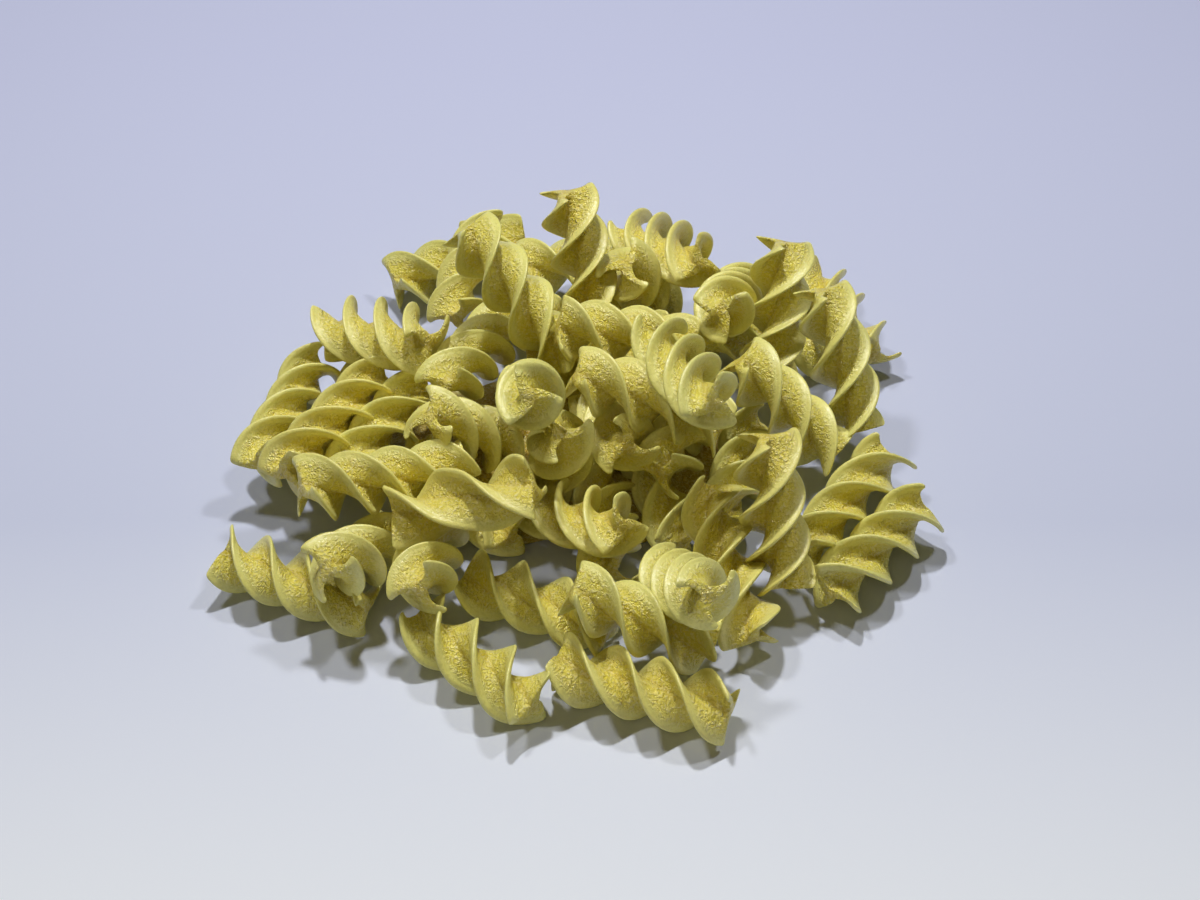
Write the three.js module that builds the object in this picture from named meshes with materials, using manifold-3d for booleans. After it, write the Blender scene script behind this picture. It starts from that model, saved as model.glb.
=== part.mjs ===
// A heap of dry fusilli lying on a flat surface, joined into one solid.
// Each fusillo is a right-hand twist of three thin curved blades, cut square at both ends.
// Millimetres, +Z up. The origin is on the surface, under the middle of the heap.
import * as THREE from 'three';
import { mergeVertices } from 'three/addons/utils/BufferGeometryUtils.js';
import Module from 'manifold-3d';

const wasm = await Module();
wasm.setup();

// One fusillo.
const SHORTEST = 29;
const LONGEST = 36;
const REACH = 6.75;
const PITCH = 27;
const BLADES = 3;
const BLADE_CURL = THREE.MathUtils.degToRad(65);
const ROOT_THICKNESS = 2.0;
const EDGE_THICKNESS = 1.2;
const VALLEY_RADIUS = 1.6;
const STEPS = 8;

// How the fusilli lie together.
const SPACING = 9.5;
const FLOOR_CLEARANCE = 0.5;
const MIDDLE = new THREE.Vector3(1.4, 3.8, 0);
const FACING = new THREE.Vector3(0, -1, 1).normalize();
const SETTLE_ROUNDS = 200;
const PUSH = 0.23;
const HOLD = 0.02;
const LEAST_DISTANCE = 0.05;
const TINY = 1e-9;

// The lump inside, which the fusilli are fused on.
const CORE_WIDTH = 110;
const CORE_DEPTH = 92;
const CORE_HEIGHT = 18;
const CORE_MIDDLE = new THREE.Vector3(4.5, 15.5, 0);
const CORE_SIDES = 14;
const CORE_RINGS = 3;

// Where each fusillo lies: the middles of its two ends, and how far its blades are turned about its
// length at the first end, in degrees, from facing the front and up. A loose one has a longer pitch,
// an opened one a wider reach.
const FUSILLI = [
  // In front, on the surface.
  { name: 'front_right', from: [29, -63, 7], to: [-4, -53, 7], turn: 20 },
  { name: 'front_left', from: [-29, -40, 7], to: [-6, -61, 7], turn: 0 },
  { name: 'far_left', from: [-38, -35, 8], to: [-68, -24, 7], turn: 0 },
  { name: 'front_second', from: [-23, -30, 7], to: [5, -43, 7], turn: 0 },
  { name: 'front_crossing', from: [3, -44, 17], to: [28, -45, 9], turn: 0 },
  { name: 'front_leaning_left', from: [-27, -41, 15], to: [-26, -18, 7], turn: 0 },
  { name: 'front_end_on', from: [24, -54, 27], to: [19, -28, 7], turn: 0 },
  { name: 'front_low_right', from: [25, -15, 16], to: [31, -46, 7], turn: 0 },
  { name: 'front_standing', from: [36, -20, 35], to: [40, -32, 7], turn: 0 },
  // To the right.
  { name: 'right_outer', from: [69, -12, 7], to: [48, -34, 7], turn: 30 },
  { name: 'right_inner', from: [63, 2, 7], to: [45, -26, 8], turn: 60 },
  { name: 'right_upper', from: [50, 22, 35], to: [58, 9, 8], turn: 0 },
  { name: 'right_back', from: [63, 32, 8], to: [52, 58, 7], turn: 0 },
  // To the left.
  { name: 'left_low', from: [-52, -24, 22], to: [-21, -11, 13], turn: 0 },
  { name: 'left_loose', from: [-11, -28, 28], to: [-31, -22, 19], turn: 60, pitch: 60, reach: 7.4 },
  { name: 'left_over_edge', from: [-45, -40, 16], to: [-33, -23, 7], turn: 0 },
  { name: 'left_outer', from: [-54, 29, 9], to: [-62, -6, 14], turn: 0 },
  { name: 'left_second', from: [-39, 19, 15], to: [-56, -13, 18], turn: 0 },
  { name: 'left_third', from: [-29, 13, 15], to: [-43, -18, 19], turn: 0 },
  { name: 'left_comb', from: [-28, 13, 23], to: [-51, 30, 14], turn: 0, reach: 7.5 },
  { name: 'left_inner', from: [-29, -1, 25], to: [-17, 8, 5], turn: 0 },
  // At the back.
  { name: 'back_left', from: [-40, 56, 7], to: [-12, 71, 7], turn: 0 },
  { name: 'back_leaning', from: [-25, 37, 14], to: [-18, 65, 14], turn: 0 },
  { name: 'back_hanging', from: [-22, 32, 43], to: [-1, 17, 19], turn: 0 },
  { name: 'back_standing', from: [-1, 45, 42], to: [6, 31, 14], turn: 0 },
  { name: 'back_lying', from: [11, 60, 12], to: [25, 37, 29], turn: 0 },
  { name: 'back_end_on', from: [39, 50, 9], to: [29, 22, 28], turn: 0 },
  { name: 'back_right_standing', from: [43, 36, 36], to: [40, 22, 9], turn: 0 },
  { name: 'back_small', from: [10, 39, 24], to: [15, 50, 9], turn: 0 },
  { name: 'back_behind_left', from: [-12, 58, 13], to: [14, 58, 8], turn: 0 },
  { name: 'back_behind_right', from: [40, 58, 8], to: [53, 32, 9], turn: 0 },
  // On top.
  { name: 'top_end_on', from: [-8, 8, 20], to: [-6, -17, 42], turn: 0 },
  { name: 'top_across', from: [-1, 13, 33], to: [23, 17, 26], turn: 40 },
  { name: 'top_front', from: [-1, -6, 35], to: [25, -4, 16], turn: 0 },
  { name: 'top_star', from: [16, 10, 32], to: [26, -20, 44], turn: 0 },
  { name: 'top_right', from: [33, 8, 29], to: [52, 2, 8], turn: 0 },
  { name: 'top_left', from: [-26, 4, 19], to: [-14, 35, 13], turn: 0 },
  // In the hollow at the front and underneath.
  { name: 'hollow_front', from: [-12, -10, 6], to: [10, -29, 20], turn: 0 },
  { name: 'hollow_floor', from: [5, -27, 8], to: [4, 5, 7], turn: 0, hidden: true },
  { name: 'hollow_left', from: [-4, -9, 21], to: [0, -8, 5], turn: 0 },
  { name: 'hollow_middle', from: [12, -11, 22], to: [8, 14, 5], turn: 0 },
  { name: 'hollow_right', from: [22, -13, 22], to: [28, 14, 6], turn: 0 },
  { name: 'under_back', from: [-14, 44, 7], to: [14, 42, 7], turn: 0, hidden: true },
  { name: 'under_back_right', from: [11, 32, 8], to: [39, 41, 8], turn: 0, hidden: true },
  { name: 'under_front_left', from: [-30, 8, 7], to: [-8, -16, 7], turn: 0, hidden: true },
  { name: 'under_left', from: [-48, 2, 7], to: [-40, 34, 7], turn: 0, hidden: true },
  { name: 'under_middle', from: [-2, 22, 7], to: [28, 8, 7], turn: 0, hidden: true },
  { name: 'under_hollow', from: [14, 8, 7], to: [20, -22, 7], turn: 0, hidden: true },
  { name: 'under_top', from: [-12, 26, 13], to: [18, 28, 15], turn: 0, hidden: true },
  { name: 'under_front_right', from: [34, 12, 7], to: [28, -16, 7], turn: 0, hidden: true },
];

// The fractions along two lengths at which they come closest to each other.
function closest(one, other) {
  const u = one.end.clone().sub(one.start);
  const v = other.end.clone().sub(other.start);
  const w = one.start.clone().sub(other.start);
  const uu = u.dot(u);
  const uv = u.dot(v);
  const vv = v.dot(v);
  const uw = u.dot(w);
  const vw = v.dot(w);
  const between = Math.max(uu * vv - uv * uv, TINY);
  const first = THREE.MathUtils.clamp((uv * vw - vv * uw) / between, 0, 1);
  const t = THREE.MathUtils.clamp((uv * first + vw) / vv, 0, 1);
  const s = THREE.MathUtils.clamp((uv * t - uw) / uu, 0, 1);
  return [s, t];
}

// One round of pushing apart: two fusilli closer than SPACING move away from each other where
// they come closest.
function pushApart(lying) {
  const pushes = lying.map(() => [new THREE.Vector3(), new THREE.Vector3()]);
  for (let i = 0; i < lying.length; i += 1) {
    for (let j = i + 1; j < lying.length; j += 1) {
      const [s, t] = closest(lying[i], lying[j]);
      const here = lying[i].start.clone().lerp(lying[i].end, s);
      const there = lying[j].start.clone().lerp(lying[j].end, t);
      const away = there.sub(here);
      const distance = Math.max(away.length(), LEAST_DISTANCE);
      if (distance < SPACING) {
        away.multiplyScalar((PUSH * (SPACING - distance)) / distance);
        pushes[i][0].addScaledVector(away, s - 1);
        pushes[i][1].addScaledVector(away, -s);
        pushes[j][0].addScaledVector(away, 1 - t);
        pushes[j][1].addScaledVector(away, t);
      }
    }
  }
  lying.forEach((piece, i) => {
    piece.start.add(pushes[i][0]);
    piece.end.add(pushes[i][1]);
  });
}

// Keeps a fusillo near its place, at its own length and off the surface.
function hold(piece) {
  piece.start.lerp(piece.from, HOLD);
  piece.end.lerp(piece.to, HOLD);
  const middle = piece.start.clone().add(piece.end).multiplyScalar(0.5);
  const half = piece.end.clone().sub(middle).setLength(piece.length / 2);
  piece.start.copy(middle).sub(half);
  piece.end.copy(middle).add(half);
  const slope = half.z / (piece.length / 2);
  const lowest = piece.reach * Math.sqrt(1 - slope * slope) + FLOOR_CLEARANCE;
  piece.start.z = Math.max(piece.start.z, lowest);
  piece.end.z = Math.max(piece.end.z, lowest);
}

// The listed fusilli, nudged until no two lie through each other.
function settle(list) {
  const lying = list.map((row) => {
    const from = new THREE.Vector3(...row.from);
    const to = new THREE.Vector3(...row.to);
    return {
      from,
      to,
      start: from.clone(),
      end: to.clone(),
      length: THREE.MathUtils.clamp(from.distanceTo(to), SHORTEST, LONGEST),
      turn: THREE.MathUtils.degToRad(row.turn),
      pitch: row.pitch ?? PITCH,
      reach: row.reach ?? REACH,
      hidden: row.hidden ?? false,
    };
  });
  for (let round = 0; round < SETTLE_ROUNDS; round += 1) {
    pushApart(lying);
    lying.forEach(hold);
  }
  return lying;
}

// The outline of a fusillo cut across: per blade the two corners of its edge, a point on the
// rounded back, and the valley to the next blade.
function section(reach) {
  const radius = reach / (2 * Math.sin(BLADE_CURL / 2));
  const bladePoint = (along, side) => {
    const heading = BLADE_CURL * (0.5 - along);
    const x = radius * (Math.sin(BLADE_CURL / 2) - Math.sin(heading));
    const y = radius * (Math.cos(heading) - Math.cos(BLADE_CURL / 2));
    return new THREE.Vector2(x - side * Math.sin(heading), y + side * Math.cos(heading));
  };
  const outline = [];
  for (let blade = 0; blade < BLADES; blade += 1) {
    const angle = (blade * 2 * Math.PI) / BLADES;
    const valley = angle + BLADE_CURL / 2 + Math.PI / BLADES;
    const centre = new THREE.Vector2();
    outline.push(
      bladePoint(1, -EDGE_THICKNESS / 2).rotateAround(centre, angle),
      bladePoint(1, EDGE_THICKNESS / 2).rotateAround(centre, angle),
      bladePoint(0.5, ROOT_THICKNESS / 2).rotateAround(centre, angle),
      new THREE.Vector2(Math.cos(valley), Math.sin(valley)).multiplyScalar(VALLEY_RADIUS),
    );
  }
  return outline;
}

// One fusillo where it lies.
function fusillo(piece) {
  const geometry = new THREE.ExtrudeGeometry(new THREE.Shape(section(piece.reach)), {
    depth: piece.length,
    steps: STEPS,
    bevelEnabled: false,
  });
  const place = geometry.getAttribute('position');
  const point = new THREE.Vector3();
  const along = new THREE.Vector3(0, 0, 1);
  for (let i = 0; i < place.count; i += 1) {
    point.fromBufferAttribute(place, i);
    point.applyAxisAngle(along, piece.turn + (2 * Math.PI * point.z) / piece.pitch);
    place.setXYZ(i, point.x, point.y, point.z);
  }
  const axis = piece.end.clone().sub(piece.start).normalize();
  const facing = FACING.clone().addScaledVector(axis, -FACING.dot(axis)).normalize();
  const side = axis.clone().cross(facing);
  const where = piece.start.clone().sub(MIDDLE);
  geometry.applyMatrix4(new THREE.Matrix4().makeBasis(facing, side, axis).setPosition(where));
  return geometry;
}

// A low round lump with a flat underside.
function core() {
  const profile = [new THREE.Vector2(0, 0)];
  for (let ring = 0; ring < CORE_RINGS; ring += 1) {
    const rise = (ring / CORE_RINGS) * (Math.PI / 2);
    profile.push(new THREE.Vector2(Math.cos(rise), Math.sin(rise)));
  }
  profile.push(new THREE.Vector2(0, 1));
  const geometry = new THREE.LatheGeometry(profile, CORE_SIDES);
  geometry.rotateX(Math.PI / 2);
  geometry.scale(CORE_WIDTH / 2, CORE_DEPTH / 2, CORE_HEIGHT);
  geometry.translate(...CORE_MIDDLE.clone().sub(MIDDLE).toArray());
  return geometry;
}

// A closed mesh as a solid, with shared corners merged and flat slivers left out.
function solid(geometry) {
  geometry.deleteAttribute('normal');
  geometry.deleteAttribute('uv');
  const merged = mergeVertices(geometry);
  const corners = merged.getIndex().array;
  const triangles = [];
  for (let i = 0; i < corners.length; i += 3) {
    const [a, b, c] = corners.slice(i, i + 3);
    if (a !== b && b !== c && c !== a) {
      triangles.push(a, b, c);
    }
  }
  return new wasm.Manifold(
    new wasm.Mesh({
      numProp: 3,
      vertProperties: new Float32Array(merged.getAttribute('position').array),
      triVerts: new Uint32Array(triangles),
    }),
  );
}

// The core and every fusillo as one closed body: what hangs loose is dropped, and what is
// sealed inside is filled.
function heap() {
  let joined = solid(core());
  for (const piece of settle(FUSILLI).filter(({ hidden }) => !hidden)) {
    joined = joined.add(solid(fusillo(piece)));
  }
  const bodies = joined.decompose();
  bodies.sort((one, other) => other.volume() - one.volume());
  const mesh = bodies[0].getMesh();
  const geometry = new THREE.BufferGeometry();
  geometry.setAttribute('position', new THREE.BufferAttribute(mesh.vertProperties, 3));
  geometry.setIndex(new THREE.BufferAttribute(mesh.triVerts, 1));
  geometry.computeVertexNormals();
  return geometry;
}

const pasta = new THREE.MeshStandardMaterial({ color: 0xe2cf84, roughness: 0.6, metalness: 0 });

const fusilliHeap = new THREE.Mesh(heap(), pasta);
fusilliHeap.name = 'fusilli_heap';

const part = new THREE.Group();
part.add(fusilliHeap);

export default part;
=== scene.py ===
"""A heap of dry fusilli lying on a bare pale surface.

Every fusillo is one closed surface: three thin curled blades round an axis, twisted right-handed
and cut off at both ends. They lie where the solids of the frame have them. Metres in Blender,
millimetres in the tables, +Z up, the origin on the surface under the middle of the heap.
"""

import math

import bpy
import numpy as np
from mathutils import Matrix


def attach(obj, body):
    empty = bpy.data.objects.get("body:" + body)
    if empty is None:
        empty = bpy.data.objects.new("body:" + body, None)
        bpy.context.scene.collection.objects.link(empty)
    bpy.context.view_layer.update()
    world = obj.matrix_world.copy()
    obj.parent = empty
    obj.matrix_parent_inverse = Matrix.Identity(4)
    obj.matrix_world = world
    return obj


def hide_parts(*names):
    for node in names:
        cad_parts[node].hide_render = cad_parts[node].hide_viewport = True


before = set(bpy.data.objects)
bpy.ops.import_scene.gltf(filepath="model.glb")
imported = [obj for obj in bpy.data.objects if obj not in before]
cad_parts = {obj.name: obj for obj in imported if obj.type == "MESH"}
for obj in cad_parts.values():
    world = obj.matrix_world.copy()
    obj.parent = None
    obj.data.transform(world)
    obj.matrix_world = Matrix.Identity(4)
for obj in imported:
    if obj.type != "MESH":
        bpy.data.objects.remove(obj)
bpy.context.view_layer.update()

MM = 0.001
NODE = "fusilli_heap"
SEED = 7
TINY = 1e-9

# One fusillo, as in the solids, with a finer cross-section.
SHORTEST = 29
LONGEST = 36
REACH = 6.75
PITCH = 27
BLADES = 3
BLADE_CURL = 65
ROOT_THICKNESS = 2.4
WAIST_THICKNESS = 1.15
EDGE_THICKNESS = 1.45
THINNEST_HALF = 0.12
ROOT_AT = 0.24
WAIST_AT = 0.62
VALLEY_DEPTH = 1.1
STEP_ALONG = 0.38
LEAST_STEPS = 24
SIDE_POINTS = 8
RIM_POINTS = 5
VALLEY_POINTS = 3
POINTS_PER_BLADE = 2 * SIDE_POINTS + RIM_POINTS + VALLEY_POINTS

# A cut end is rounded by two rings: how far each lies along and how far it is drawn in, as shares
# of the rounding.
END_ROUNDING = 0.35
RINGS_ALONG = np.array([0.0, 0.3])
RINGS_INWARD = np.array([0.8, 0.3])

# How uneven the fusilli are.
BOW = 0.5
PITCH_SPREAD = 0.06
REACH_SPREAD = 0.035
CURL_SPREAD = 8
TWIST_WANDER = 7
LONG_WAVE = 31
SHORT_WAVE = 12.5
LONG_SHARE = 0.6

# How the fusilli lie together, as in the solids.
SPACING = 9.5
FLOOR_CLEARANCE = 0.5
MIDDLE = np.array([1.4, 3.8, 0.0])
FACING = np.array([0.0, -1.0, 1.0]) / math.sqrt(2)
SETTLE_ROUNDS = 200
PUSH = 0.23
HOLD = 0.02
LEAST_DISTANCE = 0.05

# Per group: name, middles of the two ends in millimetres, turn about the length in degrees, and
# what is unusual about it, such as a longer pitch or a wider reach.
FUSILLI = {
    "front": [
        ("front_right", (29, -63, 7), (-4, -53, 7), 20, {}),
        ("front_left", (-29, -40, 7), (-6, -61, 7), 0, {}),
        ("far_left", (-38, -35, 8), (-68, -24, 7), 0, {}),
        ("front_second", (-23, -30, 7), (5, -43, 7), 0, {}),
        ("front_crossing", (3, -44, 17), (28, -45, 9), 0, {}),
        ("front_leaning_left", (-27, -41, 15), (-26, -18, 7), 0, {}),
        ("front_end_on", (24, -54, 27), (19, -28, 7), 0, {}),
        ("front_low_right", (25, -15, 16), (31, -46, 7), 0, {}),
        ("front_standing", (36, -20, 35), (40, -32, 7), 0, {}),
    ],
    "right": [
        ("right_outer", (69, -12, 7), (48, -34, 7), 30, {}),
        ("right_inner", (63, 2, 7), (45, -26, 8), 60, {}),
        ("right_upper", (50, 22, 35), (58, 9, 8), 0, {}),
        ("right_back", (63, 32, 8), (52, 58, 7), 0, {}),
    ],
    "left": [
        ("left_low", (-52, -24, 22), (-21, -11, 13), 0, {}),
        ("left_loose", (-11, -28, 28), (-31, -22, 19), 60, {"pitch": 44, "reach": 7.0}),
        ("left_over_edge", (-45, -40, 16), (-33, -23, 7), 0, {}),
        ("left_outer", (-54, 29, 9), (-62, -6, 14), 0, {}),
        ("left_second", (-39, 19, 15), (-56, -13, 18), 0, {}),
        ("left_third", (-29, 13, 15), (-43, -18, 19), 0, {}),
        ("left_comb", (-28, 13, 23), (-51, 30, 14), 0, {"reach": 7.5}),
        ("left_inner", (-29, -1, 25), (-17, 8, 5), 0, {}),
    ],
    "back": [
        ("back_left", (-40, 56, 7), (-12, 71, 7), 0, {}),
        ("back_leaning", (-25, 37, 14), (-18, 65, 14), 0, {}),
        ("back_hanging", (-22, 32, 43), (-1, 17, 19), 0, {}),
        ("back_standing", (-1, 45, 42), (6, 31, 14), 0, {}),
        ("back_lying", (11, 60, 12), (25, 37, 29), 0, {}),
        ("back_end_on", (39, 50, 9), (29, 22, 28), 0, {}),
        ("back_right_standing", (43, 36, 36), (40, 22, 9), 0, {}),
        ("back_small", (10, 39, 24), (15, 50, 9), 0, {}),
        ("back_behind_left", (-12, 58, 13), (14, 58, 8), 0, {}),
        ("back_behind_right", (40, 58, 8), (53, 32, 9), 0, {}),
    ],
    "top": [
        ("top_end_on", (-8, 8, 20), (-6, -17, 42), 0, {}),
        ("top_across", (-1, 13, 33), (23, 17, 26), 40, {}),
        ("top_front", (-1, -6, 35), (25, -4, 16), 0, {}),
        ("top_star", (16, 10, 32), (26, -20, 44), 0, {}),
        ("top_right", (33, 8, 29), (52, 2, 8), 0, {}),
        ("top_left", (-26, 4, 19), (-14, 35, 13), 0, {}),
    ],
    "hollow": [
        ("hollow_front", (-12, -10, 6), (10, -29, 20), 0, {}),
        ("hollow_floor", (5, -27, 8), (4, 5, 7), 0, {}),
        ("hollow_left", (-4, -9, 21), (0, -8, 5), 0, {}),
        ("hollow_middle", (12, -11, 22), (8, 14, 5), 0, {}),
        ("hollow_right", (22, -13, 22), (28, 14, 6), 0, {}),
    ],
    "under": [
        ("under_back", (-14, 44, 7), (14, 42, 7), 0, {}),
        ("under_back_right", (11, 32, 8), (39, 41, 8), 0, {}),
        ("under_front_left", (-30, 8, 7), (-8, -16, 7), 0, {}),
        ("under_left", (-48, 2, 7), (-40, 34, 7), 0, {}),
        ("under_middle", (-2, 22, 7), (28, 8, 7), 0, {}),
        ("under_hollow", (14, 8, 7), (20, -22, 7), 0, {}),
        ("under_top", (-12, 26, 13), (18, 28, 15), 0, {}),
        ("under_front_right", (34, 12, 7), (28, -16, 7), 0, {}),
    ],
}

# The low lump inside the heap, coloured all over in the painted shade of the creases. A swell is
# its size, its waves round and its waves upward.
LUMP_WIDTH = 68
LUMP_DEPTH = 52
LUMP_HEIGHT = 6
LUMP_MIDDLE = np.array([-3.0, 10.0, 0.0])
LUMP_RINGS = 24
LUMP_SIDES = 64
LUMP_SWELLS = ((0.06, 5, 3), (0.04, 9, -7))

# The colours of dry pasta from the creases out to the rims of the blades. The dark brown in the
# creases and valleys is painted shade.
CREASE_SHADE_COLOUR = (0.55, 0.36, 0.005)
FACE_COLOUR = (0.885, 0.765, 0.08)
PALE_COLOUR = (0.88, 0.81, 0.21)
RIM_COLOUR = (0.85, 0.815, 0.265)
# A painted highlight: the pale cream glints on the tops of the wrinkles.
GLINT_COLOUR = (0.98, 0.92, 0.56)
VALLEY_SHADE = 0.18
ALONG_BLADE = ((0.0, CREASE_SHADE_COLOUR), (0.3, FACE_COLOUR), (0.6, FACE_COLOUR), (0.88, RIM_COLOUR))
TONES = ((0.0, (0.95, 0.95, 0.90)), (0.5, (1.0, 0.99, 0.97)), (1.0, (1.0, 0.96, 0.86)))

# The fine texture: waves per metre and heights in metres.
BLOTCH_SCALE = 170.0
WRINKLE_SCALE = 1750.0
GRAIN_SCALE = 3200.0
WRINKLE_HEIGHT = 0.0008
GRAIN_HEIGHT = 0.00005

# The surface's pale colour, with a painted pool of light just in front of the heap, from the back
# to the front of the picture and on, and its glow far off.
SURFACE_SIZE = 40
SURFACE_BACK = 0.15
SURFACE_FRONT = -0.45
SURFACE_COLOURS_AND_LIGHT_POOL = ((0.0, (0.57, 0.60, 0.80)), (0.27, (0.59, 0.63, 0.79)),
                   (0.45, (0.91, 0.95, 1.0)), (1.0, (0.68, 0.72, 0.88)))
GLOW_COLOUR = (0.80, 0.84, 0.95, 1)
GLOW_FROM = 0.6
GLOW_FULL = 2.4
GLOW = 0.5

# Each lamp's place and size in metres, its watts and its colour. All are aimed at the heap.
LAMPS = {
    "lamp_above": ((-0.02, 0.15, 0.56), 0.035, 1.68, (0.98, 0.98, 1.0)),
    "lamp_left": ((-0.30, 0.10, 0.84), 0.08, 1.6, (0.98, 0.98, 1.0)),
    "lamp_right": ((0.34, 0.14, 0.83), 0.08, 1.6, (0.98, 0.98, 1.0)),
    "lamp_front": ((-0.10, -0.55, 0.60), 0.40, 0.42, (1.0, 0.88, 0.58)),
}
SKY_COLOUR = (1.0, 0.88, 0.50, 1)
SKY_STRENGTH = 0.025

# The camera of the photograph.
EYE = np.array([5.2, -327.6, 339.4]) - MIDDLE
CAMERA_TILT = 45
LENS = 69
SENSOR = 36
NEAREST_SEEN = 0.02


def closest(start_one, end_one, start_other, end_other):
    """The fractions along two lengths at which they come closest, for whole arrays of pairs.

    With u and v the two lengths and w from one start to the other, the first fraction is where
    the endless lines come closest, kept within 0 to 1, and each is then the foot of the other.
    """
    u = end_one - start_one
    v = end_other - start_other
    w = start_one - start_other
    uu, uv, vv = (u * u).sum(1), (u * v).sum(1), (v * v).sum(1)
    uw, vw = (u * w).sum(1), (v * w).sum(1)
    between = np.maximum(uu * vv - uv * uv, TINY)
    first = np.clip((uv * vw - vv * uw) / between, 0, 1)
    t = np.clip((uv * first + vw) / vv, 0, 1)
    s = np.clip((uv * t - uw) / uu, 0, 1)
    return s, t


def settle(rows):
    """Starts, ends and lengths of all fusilli once none lies through another, in millimetres.

    Each round, two that are closer than SPACING move apart where they come closest, in
    proportion to what is missing, and each is then drawn a little to its listed place, set to
    its own length and lifted off the surface.
    """
    listed_start = np.array([row[1] for row in rows], float)
    listed_end = np.array([row[2] for row in rows], float)
    reach = np.array([row[4].get("reach", REACH) for row in rows], float)
    length = np.clip(np.linalg.norm(listed_end - listed_start, axis=1), SHORTEST, LONGEST)
    start, end = listed_start.copy(), listed_end.copy()
    one, other = np.triu_indices(len(rows), 1)
    for _ in range(SETTLE_ROUNDS):
        s, t = closest(start[one], end[one], start[other], end[other])
        s, t = s[:, None], t[:, None]
        here = start[one] + s * (end[one] - start[one])
        there = start[other] + t * (end[other] - start[other])
        away = there - here
        distance = np.maximum(np.linalg.norm(away, axis=1), LEAST_DISTANCE)[:, None]
        away = away * PUSH * np.maximum(SPACING - distance, 0) / distance
        start_push, end_push = np.zeros_like(start), np.zeros_like(end)
        np.add.at(start_push, one, away * (s - 1))
        np.add.at(end_push, one, -away * s)
        np.add.at(start_push, other, away * (1 - t))
        np.add.at(end_push, other, away * t)
        start, end = start + start_push, end + end_push
        start += (listed_start - start) * HOLD
        end += (listed_end - end) * HOLD
        middle = (start + end) / 2
        half = end - middle
        half *= (length / 2 / np.linalg.norm(half, axis=1))[:, None]
        start, end = middle - half, middle + half
        slope = half[:, 2] / (length / 2)
        lowest = reach * np.sqrt(np.maximum(1 - slope**2, 0)) + FLOOR_CLEARANCE
        start[:, 2] = np.maximum(start[:, 2], lowest)
        end[:, 2] = np.maximum(end[:, 2], lowest)
    return start, end, length


def slow_wave(rng, where, count):
    """A gentle random wave along the length, within about -1 to 1, for `count` blades.

    The sum of two sines of the distance, one about as long as the fusillo and one less than half
    that, each with its own random phase per blade.
    """
    phase = rng.uniform(0, 2 * math.pi, (2, 1, count))
    long_wave = np.sin(2 * math.pi * where[:, None] / LONG_WAVE + phase[0])
    short_wave = np.sin(2 * math.pi * where[:, None] / SHORT_WAVE + phase[1])
    return LONG_SHARE * long_wave + (1 - LONG_SHARE) * short_wave


def cross_section(reach, curl, trim):
    """Outline points of the cross-section for each step along: (steps, points, 2), in millimetres.

    reach and curl hold one value per step and blade, trim one per step. A blade's middle line is
    an arc that starts at the axis and bends clockwise on its way out, through `curl` in all. Its
    thickness falls from the root to a waist and swells again to a round rim. One side runs out
    to the rim, a half circle goes round it, the other side runs back, and a parabola from root to
    root makes the valley before the next blade. trim is taken off each side, for the cut ends.
    """
    side = np.linspace(ROOT_AT, 1, SIDE_POINTS)
    thickness = [ROOT_THICKNESS, WAIST_THICKNESS, EDGE_THICKNESS]
    half = np.interp(side, [ROOT_AT, WAIST_AT, 1], thickness) / 2
    half = np.maximum(half[None, None, :] - trim[:, None, None], THINNEST_HALF)
    radius = (reach / (2 * np.sin(curl / 2)))[:, :, None]
    rim = EDGE_THICKNESS / 2 / (radius * curl[:, :, None])
    side = side[None, None, :] * (1 - rim) + 0 * radius
    heading = curl[:, :, None] * (0.5 - side)
    x = radius * (np.sin(curl / 2)[:, :, None] - np.sin(heading))
    y = radius * (np.cos(heading) - np.cos(curl / 2)[:, :, None])
    right = np.stack([x + half * np.sin(heading), y - half * np.cos(heading)], -1)
    left = np.stack([x - half * np.sin(heading), y + half * np.cos(heading)], -1)
    round_rim = np.radians(np.linspace(-90, 90, RIM_POINTS + 2)[1:-1])
    turned = heading[:, :, -1:] + round_rim[None, None, :]
    tip = np.stack([x[:, :, -1:] + half[:, :, -1:] * np.cos(turned),
                    y[:, :, -1:] + half[:, :, -1:] * np.sin(turned)], -1)
    apart = 2 * math.pi / BLADES
    to_valley = curl / 2 + apart / 2
    corner = VALLEY_DEPTH * np.stack([np.cos(to_valley), np.sin(to_valley)], -1)[:, :, None, :]
    root = right[:, :, :1]
    next_root = np.stack([root[..., 0] * math.cos(apart) - root[..., 1] * math.sin(apart),
                          root[..., 0] * math.sin(apart) + root[..., 1] * math.cos(apart)], -1)
    t = (np.arange(VALLEY_POINTS) + 1)[:, None] / (VALLEY_POINTS + 1)
    valley = (1 - t) ** 2 * left[:, :, :1] + 2 * t * (1 - t) * corner + t**2 * next_root
    blade = np.concatenate([right, tip, left[:, :, ::-1], valley], 2)
    angle = np.arange(BLADES) * apart
    cos, sin = np.cos(angle)[None, :, None], np.sin(angle)[None, :, None]
    blades = np.stack([blade[..., 0] * cos - blade[..., 1] * sin,
                       blade[..., 0] * sin + blade[..., 1] * cos], -1)
    return blades.reshape(len(trim), -1, 2)


def end_faces():
    """Faces of one cut end as lists of outline numbers, for one blade after another.

    Opposite points of a blade's two sides make a strip of four-sided faces, the rim closes it
    with one face, and one face joins the roots and the valleys in the middle.
    """
    faces, middle = [], []
    for blade in range(BLADES):
        first = blade * POINTS_PER_BLADE
        left_first = first + 2 * SIDE_POINTS + RIM_POINTS - 1
        for k in range(SIDE_POINTS - 1):
            faces.append([first + k, first + k + 1, left_first - k - 1, left_first - k])
        faces.append([first + SIDE_POINTS - 1 + k for k in range(RIM_POINTS + 2)])
        middle += [first] + [left_first + k for k in range(VALLEY_POINTS + 1)]
    faces.append(middle)
    return faces


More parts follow.
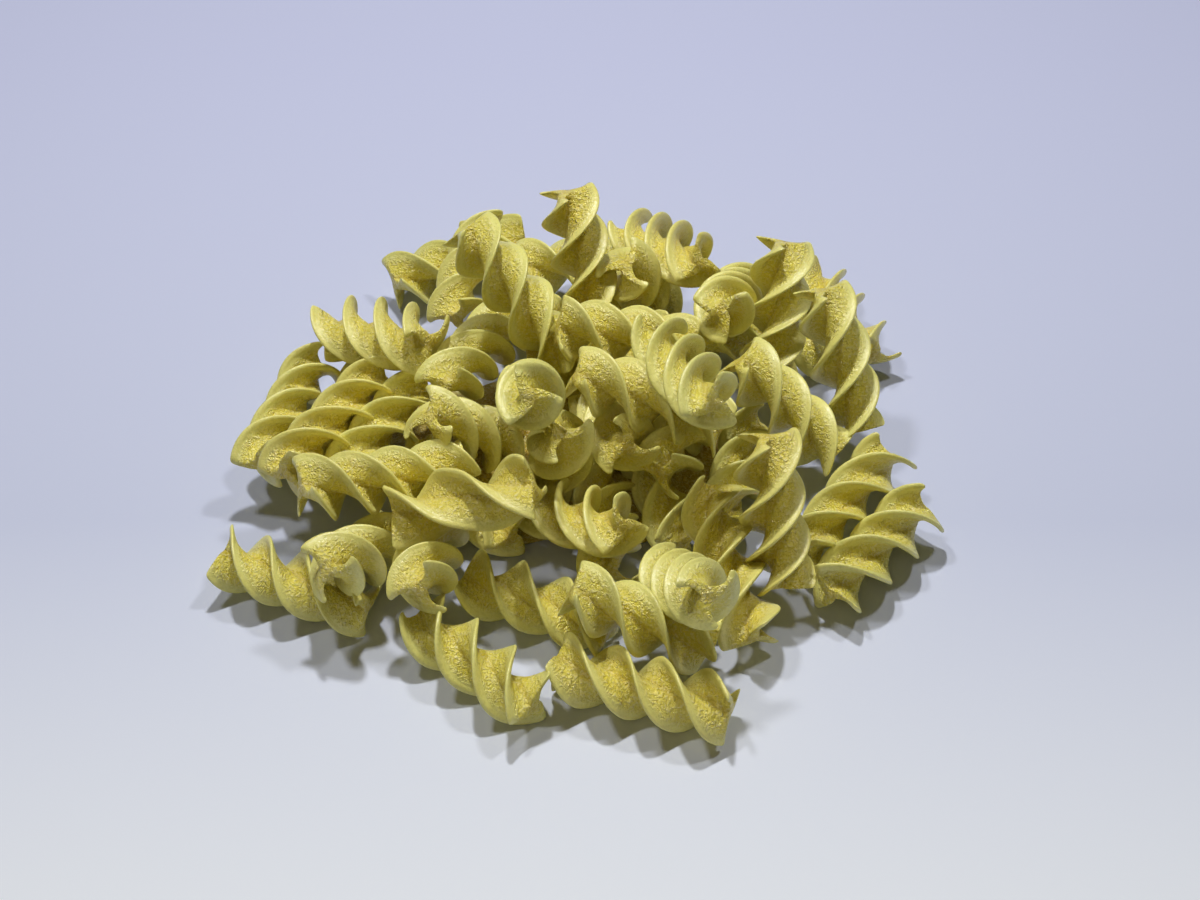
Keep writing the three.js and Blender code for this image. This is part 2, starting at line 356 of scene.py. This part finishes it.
def fusillo(row, start, end, length, rng):
    """One fusillo's corners in metres, its faces, and each corner's rim weight and tone.

    The cross-section is carried from start to end and turned by one full turn for each pitch.
    The turning runs a little ahead and behind, the blades reach a little more and less far, and
    the axis bows a little to one side, as a parabola that is highest in the middle. The rim
    weight grows from the valley out to 1 at the rim.
    """
    extra = row[4]
    reach = extra.get("reach", REACH)
    pitch = extra.get("pitch", PITCH) * (1 + rng.uniform(-PITCH_SPREAD, PITCH_SPREAD))
    steps = max(int(length / STEP_ALONG), LEAST_STEPS)
    inner = np.linspace(END_ROUNDING, length - END_ROUNDING, steps)
    rings = RINGS_ALONG * END_ROUNDING
    where = np.concatenate([rings, inner, length - rings[::-1]])
    drawn_in = RINGS_INWARD * END_ROUNDING
    trim = np.concatenate([drawn_in, np.zeros(steps), drawn_in[::-1]])
    size = reach * (1 - REACH_SPREAD + REACH_SPREAD * slow_wave(rng, where, BLADES))
    curl_middle = BLADE_CURL + rng.uniform(-CURL_SPREAD, CURL_SPREAD)
    curl = np.radians(curl_middle + CURL_SPREAD * slow_wave(rng, where, BLADES))
    outline = cross_section(size, curl, trim)
    wander = math.radians(TWIST_WANDER) * slow_wave(rng, where, 1)[:, 0]
    wander -= wander[0]
    turn = math.radians(row[3]) + 2 * math.pi * where / pitch + wander
    cos, sin = np.cos(turn)[:, None], np.sin(turn)[:, None]
    across = outline[..., 0] * cos - outline[..., 1] * sin
    upward = outline[..., 0] * sin + outline[..., 1] * cos
    axis = (end - start) / np.linalg.norm(end - start)
    facing = FACING - axis * (FACING @ axis)
    facing /= np.linalg.norm(facing)
    bow = BOW * (1 - (2 * where / length - 1) ** 2) - BOW / 2
    bow_turn = rng.uniform(0, 2 * math.pi)
    across = across + (bow * math.cos(bow_turn))[:, None]
    upward = upward + (bow * math.sin(bow_turn))[:, None]
    points = (start - MIDDLE) + where[:, None, None] * axis
    points = points + across[..., None] * facing + upward[..., None] * np.cross(axis, facing)
    rows_count, around = across.shape
    faces = walls(rows_count, around).tolist()
    last = (rows_count - 1) * around
    faces += [face[::-1] for face in end_faces()]
    faces += [[corner + last for corner in face] for face in end_faces()]
    # The rim weight is low in the valleys, which gives them the painted shade of the crease
    # colour, and 1 at the rims.
    out = np.linspace(ROOT_AT, 1, SIDE_POINTS)
    valley = np.full(VALLEY_POINTS, VALLEY_SHADE)
    rim = np.tile(np.concatenate([out, np.ones(RIM_POINTS), out[::-1], valley]), BLADES)
    rim = np.tile(rim, rows_count)
    tone = np.full(rim.shape, rng.uniform(0, 1))
    return points.reshape(-1, 3) * MM, faces, rim, tone


def walls(rings, around):
    """Four-sided faces between neighbouring rings of `around` corners each, closed round."""
    first = np.arange(rings - 1)[:, None] * around
    this = np.arange(around)[None, :]
    after = (this + 1) % around
    return np.stack([first + this, first + after, first + around + after, first + around + this],
                    -1).reshape(-1, 4)


def lump():
    """The low lump deep inside the heap that the fusilli lie on.

    Half a ball as a grid of angles round and up, squeezed to its three radii, with the radius
    swelling and shrinking as sines of the angles, closed underneath.
    """
    up = np.linspace(0, math.pi / 2, LUMP_RINGS)[:, None]
    angle = np.linspace(0, 2 * math.pi, LUMP_SIDES, endpoint=False)[None, :]
    swell = 1 + sum(size * np.sin(round_waves * angle + up_waves * up)
                    for size, round_waves, up_waves in LUMP_SWELLS)
    x = LUMP_WIDTH / 2 * np.cos(up) * np.cos(angle) * swell
    y = LUMP_DEPTH / 2 * np.cos(up) * np.sin(angle) * swell
    z = LUMP_HEIGHT * np.sin(up) + 0 * angle
    points = np.stack([x, y, z], -1)[:-1].reshape(-1, 3)
    points = np.concatenate([points, [[0, 0, LUMP_HEIGHT]]]) + LUMP_MIDDLE - MIDDLE
    top = (LUMP_RINGS - 2) * LUMP_SIDES
    this = np.arange(LUMP_SIDES)
    after = (this + 1) % LUMP_SIDES
    crown = np.stack([top + this, top + after, np.full(LUMP_SIDES, len(points) - 1)], -1)
    faces = walls(LUMP_RINGS - 1, LUMP_SIDES).tolist() + crown.tolist() + [this[::-1].tolist()]
    # Rim weight 0 all over gives the lump the crease colour: painted shade inside the heap.
    return points * MM, faces, np.zeros(len(points)), np.zeros(len(points))


def group_mesh(name, parts):
    """One smooth mesh from several closed surfaces, with their rim weights and tones."""
    corners, faces, weights = [], [], []
    offset = 0
    for points, part_faces, *part_weights in parts:
        corners.append(points)
        faces += [[corner + offset for corner in face] for face in part_faces]
        weights.append(part_weights)
        offset += len(points)
    mesh = bpy.data.meshes.new(name)
    mesh.from_pydata(np.concatenate(corners).tolist(), [], faces)
    for number, attribute in enumerate(("rim", "tone")):
        values = np.concatenate([weight[number] for weight in weights]).astype(np.float32)
        mesh.attributes.new(attribute, "FLOAT", "POINT").data.foreach_set("value", values)
    mesh.shade_smooth()
    mesh.update()
    piece = bpy.data.objects.new(name, mesh)
    bpy.context.collection.objects.link(piece)
    return piece


class Nodes:
    """A material's node tree, with short ways to add and join nodes."""

    def __init__(self, name):
        self.material = bpy.data.materials.new(name)
        self.material.use_nodes = True
        self.tree = self.material.node_tree
        self.shader = self.tree.nodes["Principled BSDF"]

    def add(self, kind, **values):
        """A new node. Keys that name a socket set its value, the others set the node's own."""
        node = self.tree.nodes.new(kind)
        for key, value in values.items():
            if hasattr(node, key):
                setattr(node, key, value)
            else:
                node.inputs[key.replace("_", " ")].default_value = value
        return node

    def join(self, output, socket):
        """A link from an output to an input."""
        self.tree.links.new(output, socket)

    def ramp(self, source, stops):
        """A colour ramp over `source`, from (place, colour) stops. A number stands for a grey."""
        node = self.tree.nodes.new("ShaderNodeValToRGB")
        while len(node.color_ramp.elements) < len(stops):
            node.color_ramp.elements.new(0.5)
        for element, (place, colour) in zip(node.color_ramp.elements, stops):
            element.position = place
            element.color = (*(colour if isinstance(colour, tuple) else (colour,) * 3), 1)
        self.join(source, node.inputs[0])
        return node.outputs[0]

    def mix(self, factor, first, second, kind="MIX"):
        """A colour mix. factor, first and second are sockets, or plain values."""
        node = self.tree.nodes.new("ShaderNodeMix")
        node.data_type = "RGBA"
        node.blend_type = kind
        sockets = (node.inputs[0], node.inputs[6], node.inputs[7])
        for socket, value in zip(sockets, (factor, first, second)):
            if isinstance(value, bpy.types.NodeSocket):
                self.join(value, socket)
            elif isinstance(value, tuple):
                socket.default_value = (*value, 1)
            else:
                socket.default_value = value
        return node.outputs[2]

    def noise(self, place, scale, detail, roughness=0.5, distortion=0.0):
        """A noise over the piece's own coordinates."""
        node = self.add("ShaderNodeTexNoise", Scale=scale, Detail=detail, Roughness=roughness,
                        Distortion=distortion)
        self.join(place, node.inputs["Vector"])
        return node.outputs["Fac"]

    def set(self, **values):
        """Plain values on the shader's own sockets."""
        for key, value in values.items():
            self.shader.inputs[key.replace("_", " ")].default_value = value


def pasta():
    """Dry semolina pasta: pale yellow, finely wrinkled faces, smoother and paler blade rims. The
    creases and the low parts of the wrinkles have painted shade, and the tops of the wrinkles have
    painted glints.
    """
    nodes = Nodes("dry_pasta")
    place = nodes.add("ShaderNodeTexCoord").outputs["Object"]
    rim = nodes.add("ShaderNodeAttribute", attribute_name="rim").outputs["Fac"]
    tone = nodes.add("ShaderNodeAttribute", attribute_name="tone").outputs["Fac"]
    blotch = nodes.noise(place, BLOTCH_SCALE, detail=3.0, roughness=0.6)
    wrinkle = nodes.noise(place, WRINKLE_SCALE, detail=2.0, distortion=0.7)
    grain = nodes.noise(place, GRAIN_SCALE, detail=2.0)
    patches = nodes.ramp(blotch, [(0.35, 0.0), (0.7, 0.55)])
    # Along each blade: painted shade in the creases, then the face colour, then the paler rims.
    colour = nodes.mix(patches, nodes.ramp(rim, ALONG_BLADE), PALE_COLOUR)
    # Painted shade: the colour is a little darker in the low parts of the wrinkles.
    wrinkle_hollow_shade = nodes.ramp(wrinkle, [(0.3, 0.9), (0.5, 1.0)])
    colour = nodes.mix(1.0, colour, wrinkle_hollow_shade, "MULTIPLY")
    wrinkled = nodes.ramp(rim, [(0.7, 1.0), (0.92, 0.15)])
    # Painted highlight: glints of pale cream on the tops of the wrinkles, not on the rims.
    glints = nodes.ramp(wrinkle, [(0.46, 0.0), (0.68, 0.5)])
    glints = nodes.mix(1.0, glints, wrinkled, "MULTIPLY")
    colour = nodes.mix(glints, colour, GLINT_COLOUR)
    colour = nodes.mix(1.0, colour, nodes.ramp(tone, TONES), "MULTIPLY")
    nodes.join(colour, nodes.shader.inputs["Base Color"])
    bump = nodes.add("ShaderNodeBump", Strength=1.0, Distance=WRINKLE_HEIGHT)
    nodes.join(nodes.mix(1.0, wrinkle, wrinkled, "MULTIPLY"), bump.inputs["Height"])
    fine = nodes.add("ShaderNodeBump", Strength=0.25, Distance=GRAIN_HEIGHT)
    nodes.join(grain, fine.inputs["Height"])
    nodes.join(bump.outputs["Normal"], fine.inputs["Normal"])
    nodes.join(fine.outputs["Normal"], nodes.shader.inputs["Normal"])
    nodes.set(Roughness=0.33, Specular_IOR_Level=0.65, Subsurface_Weight=0.06,
              Subsurface_Radius=(1.0, 0.75, 0.25), Subsurface_Scale=0.0006)
    return nodes.material


def surface_paint():
    """The bare surface under the heap: matt and pale, with a painted pool of light toward the
    front, and glowing far off.
    """
    nodes = Nodes("pale_surface")
    place = nodes.add("ShaderNodeTexCoord").outputs["Object"]
    across = nodes.add("ShaderNodeSeparateXYZ")
    nodes.join(place, across.inputs[0])
    nearer = nodes.add("ShaderNodeMapRange", From_Min=SURFACE_BACK, From_Max=SURFACE_FRONT)
    nodes.join(across.outputs["Y"], nearer.inputs["Value"])
    # Painted light: the colour is brightest just in front of the heap and darker behind it and
    # further forward.
    colour = nodes.ramp(nearer.outputs["Result"], SURFACE_COLOURS_AND_LIGHT_POOL)
    nodes.join(colour, nodes.shader.inputs["Base Color"])
    away = nodes.add("ShaderNodeVectorMath", operation="LENGTH")
    nodes.join(place, away.inputs[0])
    far_off = nodes.add("ShaderNodeMapRange", From_Min=GLOW_FROM, From_Max=GLOW_FULL, To_Max=GLOW)
    nodes.join(away.outputs["Value"], far_off.inputs["Value"])
    nodes.join(far_off.outputs["Result"], nodes.shader.inputs["Emission Strength"])
    nodes.set(Emission_Color=GLOW_COLOUR, Roughness=0.7, Specular_IOR_Level=0.2)
    return nodes.material


def soft_light(name, place, size, watts, colour):
    """A square lamp of `size` metres at `place`, turned to the heap."""
    data = bpy.data.lights.new(name, "AREA")
    data.energy = watts
    data.size = size
    data.color = colour
    lamp = bpy.data.objects.new(name, data)
    bpy.context.collection.objects.link(lamp)
    toward = -np.array(place) / np.linalg.norm(place)
    lamp.location = place
    lamp.rotation_euler = (math.acos(-toward[2]), 0, math.atan2(-toward[0], toward[1]))


def dress(piece, material):
    """A piece of the heap: it has the material and stands for the solid."""
    piece.data.materials.append(material)
    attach(piece, "root")
    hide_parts(NODE)


dry_pasta = pasta()
listed = [row for rows in FUSILLI.values() for row in rows]
starts, ends, lengths = settle(listed)
rng = np.random.default_rng(SEED)
made = [fusillo(*values, rng) for values in zip(listed, starts, ends, lengths)]

count = 0
for group, rows in FUSILLI.items():
    dress(group_mesh("fusilli_" + group, made[count : count + len(rows)]), dry_pasta)
    count += len(rows)
dress(group_mesh("shaded_lump_inside", [lump()]), dry_pasta)

# The surface, the lights and the camera.
bpy.ops.mesh.primitive_plane_add(size=SURFACE_SIZE)
surface = bpy.context.object
surface.name = "surface"
surface.data.materials.append(surface_paint())

for name, lamp in LAMPS.items():
    soft_light(name, *lamp)

sky = bpy.data.worlds.new("sky")
sky.use_nodes = True
sky.node_tree.nodes["Background"].inputs["Color"].default_value = SKY_COLOUR
sky.node_tree.nodes["Background"].inputs["Strength"].default_value = SKY_STRENGTH
bpy.context.scene.world = sky
bpy.context.scene.view_settings.view_transform = "Standard"

camera_data = bpy.data.cameras.new("camera")
camera_data.lens = LENS
camera_data.sensor_width = SENSOR
camera_data.clip_start = NEAREST_SEEN
camera = bpy.data.objects.new("camera", camera_data)
camera.location = EYE * MM
camera.rotation_euler = (math.radians(90 - CAMERA_TILT), 0, 0)
bpy.context.collection.objects.link(camera)
bpy.context.scene.camera = camera
